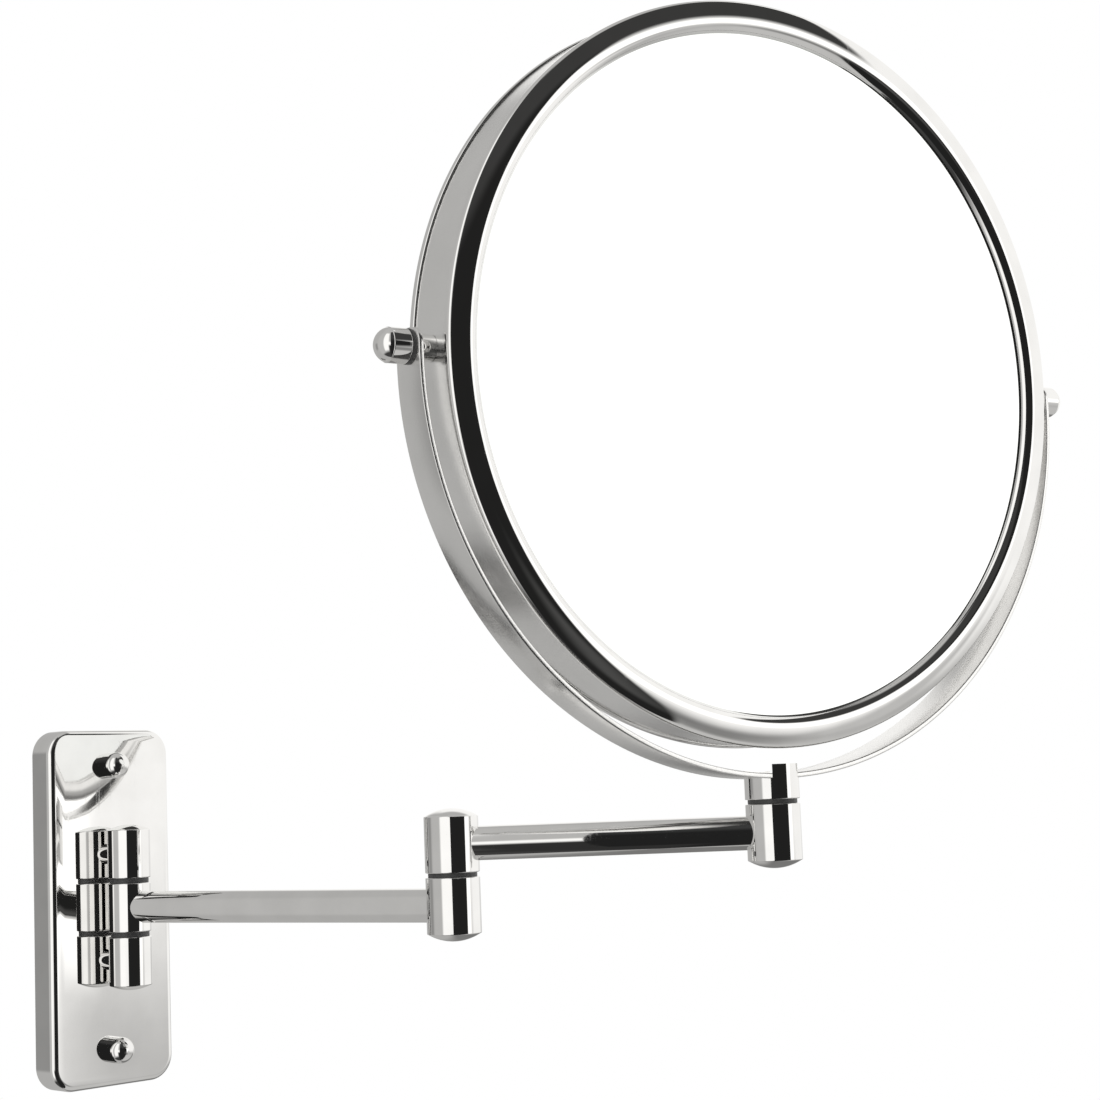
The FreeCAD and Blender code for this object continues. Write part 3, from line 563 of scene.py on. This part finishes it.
def build_bezel(name, node, side, surface):
    """Pressed ring turned about the mirror's own axis; side is -1 for the front, 1 for the back."""
    outer, inner = bezel_skin(0), bezel_skin(DRUM_SHEET)
    edge_centre = (outer[-1][0] - SKIRT_ROUND, SKIRT_END + SKIRT_ROUND)
    edge = arc_points(edge_centre, SKIRT_ROUND, 90, 180, EDGE_STEPS)
    section = outer + edge + [(inner[-1][0], SKIRT_END)] + inner[::-1]
    points = []
    for step in range(BEZEL_STEPS):
        turn = math.tau * step / BEZEL_STEPS
        for radius, height in section:
            points.append((radius * math.cos(turn), side * height, radius * math.sin(turn)))
    faces = ring_faces(BEZEL_STEPS, len(section), closed=True)
    add_piece(name, points, faces, head_frame(HEAD_TILT), node, surface)


def dish_face(face):
    """Hollow and flat rim of the magnifying glass, its rim at a height: (radius, height)."""
    sphere = (DISH_RADIUS ** 2 + DISH_DEPTH ** 2) / (2 * DISH_DEPTH)
    points = []
    for step in range(1, DISH_STEPS + 1):
        radius = DISH_RADIUS * step / DISH_STEPS
        rise = sphere - math.sqrt(sphere ** 2 - radius ** 2)
        points.append((radius, face - DISH_DEPTH + rise))
    return points + [(DISH_RADIUS + DISH_RIM_STEP, face), (GLASS_RADIUS, face)]


def build_dish(surface):
    """Magnifying glass turned about the mirror's own axis."""
    points = []
    section = dish_face(GLASS_FACE) + dish_face(GLASS_FACE - GLASS_THICKNESS)[::-1]
    for radius, height in section:
        for step in range(DISH_SIDES):
            turn = math.tau * step / DISH_SIDES
            points.append((radius * math.cos(turn), height, radius * math.sin(turn)))
    faces = ring_faces(len(section), DISH_SIDES)
    add_piece("magnifying_glass", points, faces, head_frame(HEAD_TILT), "back_glass", surface)


def yoke_stations():
    """Along the strip's middle: its place, the outward direction in XZ, and half its width."""
    half = YOKE_WIDTH / 2
    tip_start = YOKE_TIP - YOKE_TIP_ROUND
    tip = []
    for step in range(EDGE_STEPS + 1):
        turn = math.radians(90 * step / EDGE_STEPS)
        height = tip_start + YOKE_TIP_ROUND * math.sin(turn)
        tip.append((height, half - YOKE_TIP_ROUND + YOKE_TIP_ROUND * math.cos(turn)))
    stations = [((-YOKE_MIDDLE, height), (-1, 0), width) for height, width in reversed(tip)]
    for step in range(YOKE_STEPS + 1):
        turn = math.pi * (1 + step / YOKE_STEPS)
        out = (math.cos(turn), math.sin(turn))
        stations.append(((YOKE_MIDDLE * out[0], YOKE_MIDDLE * out[1] - YOKE_DROP), out, half))
    return stations + [((YOKE_MIDDLE, height), (1, 0), width) for height, width in tip]


def build_yoke(surface):
    """Bent strip with rounded edges and tips."""
    points = []
    stations = yoke_stations()
    for (x, z), out, half in stations:
        section = rounded_rectangle(half, YOKE_THICKNESS / 2, YOKE_EDGE_ROUND, YOKE_EDGE_STEPS)
        for across, thick in section:
            points.append((x + out[0] * thick, across, z + out[1] * thick))
    faces = ring_faces(len(stations), len(points) // len(stations))
    add_piece("yoke_strip", points, faces, head_frame(), "yoke_band", surface)


def build_plate(surface):
    """Hollow cover: inner walls, back rim, outer walls and the rounded front edge."""
    low, high = (Vector(corner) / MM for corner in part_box("wall_plate"))
    half_width, half_height, depth = high.x, high.z, -low.y
    rings = [(PLATE_WALL, depth - PLATE_WALL), (PLATE_WALL, 0), (0, 0)]
    for back, out in arc_points((0, 0), PLATE_EDGE_ROUND, 90, 0, EDGE_STEPS):
        rings.append((PLATE_EDGE_ROUND - back, depth - PLATE_EDGE_ROUND + out))
    points = []
    for inset, ring_depth in rings:
        outline = rounded_rectangle(half_width - inset, half_height - inset,
                                    PLATE_CORNER - inset, CORNER_STEPS)
        points += [(x, -ring_depth, z) for x, z in outline]
    faces = ring_faces(len(rings), len(points) // len(rings))
    add_piece("wall_cover", points, faces, Matrix.Identity(4), "wall_plate", surface)


def finish_nodes():
    """Give every CAD node the material of its slot, but the rolled strips their own chrome.

    Then build the finer pieces.
    """
    looks = {
        "chrome": polished_chrome(),
        "plain_mirror": silvered_glass(),
        "zinc_steel": zinc_steel(),
        "brass": brass(),
        "nylon": moulded("grey_nylon", NYLON_LIGHT, NYLON_DARK,
                         smoothest=0.35, roughest=0.55, grain_scale=1500),
        "frame_plastic": moulded("black_abs", ABS_LIGHT, ABS_DARK,
                                 smoothest=0.4, roughest=0.6, grain_scale=900),
        "foam": foam(),
    }
    looks["dished_mirror"] = looks["plain_mirror"]
    rolled = rolled_chrome()
    for name, node in frame["nodes"].items():
        node.data.materials.clear()
        node.data.materials.append(rolled if name in ROLLED_NODES else looks[slots[name]])
    build_bezel("front_ring", "front_bezel", -1, looks["chrome"])
    build_bezel("back_ring", "back_bezel", 1, looks["chrome"])
    build_dish(looks["dished_mirror"])
    build_plate(looks["chrome"])
    build_yoke(rolled)


build_world()
build_camera()
build_floor()
build_stand()
finish_nodes()

bpy.context.scene.view_settings.view_transform = "Standard"
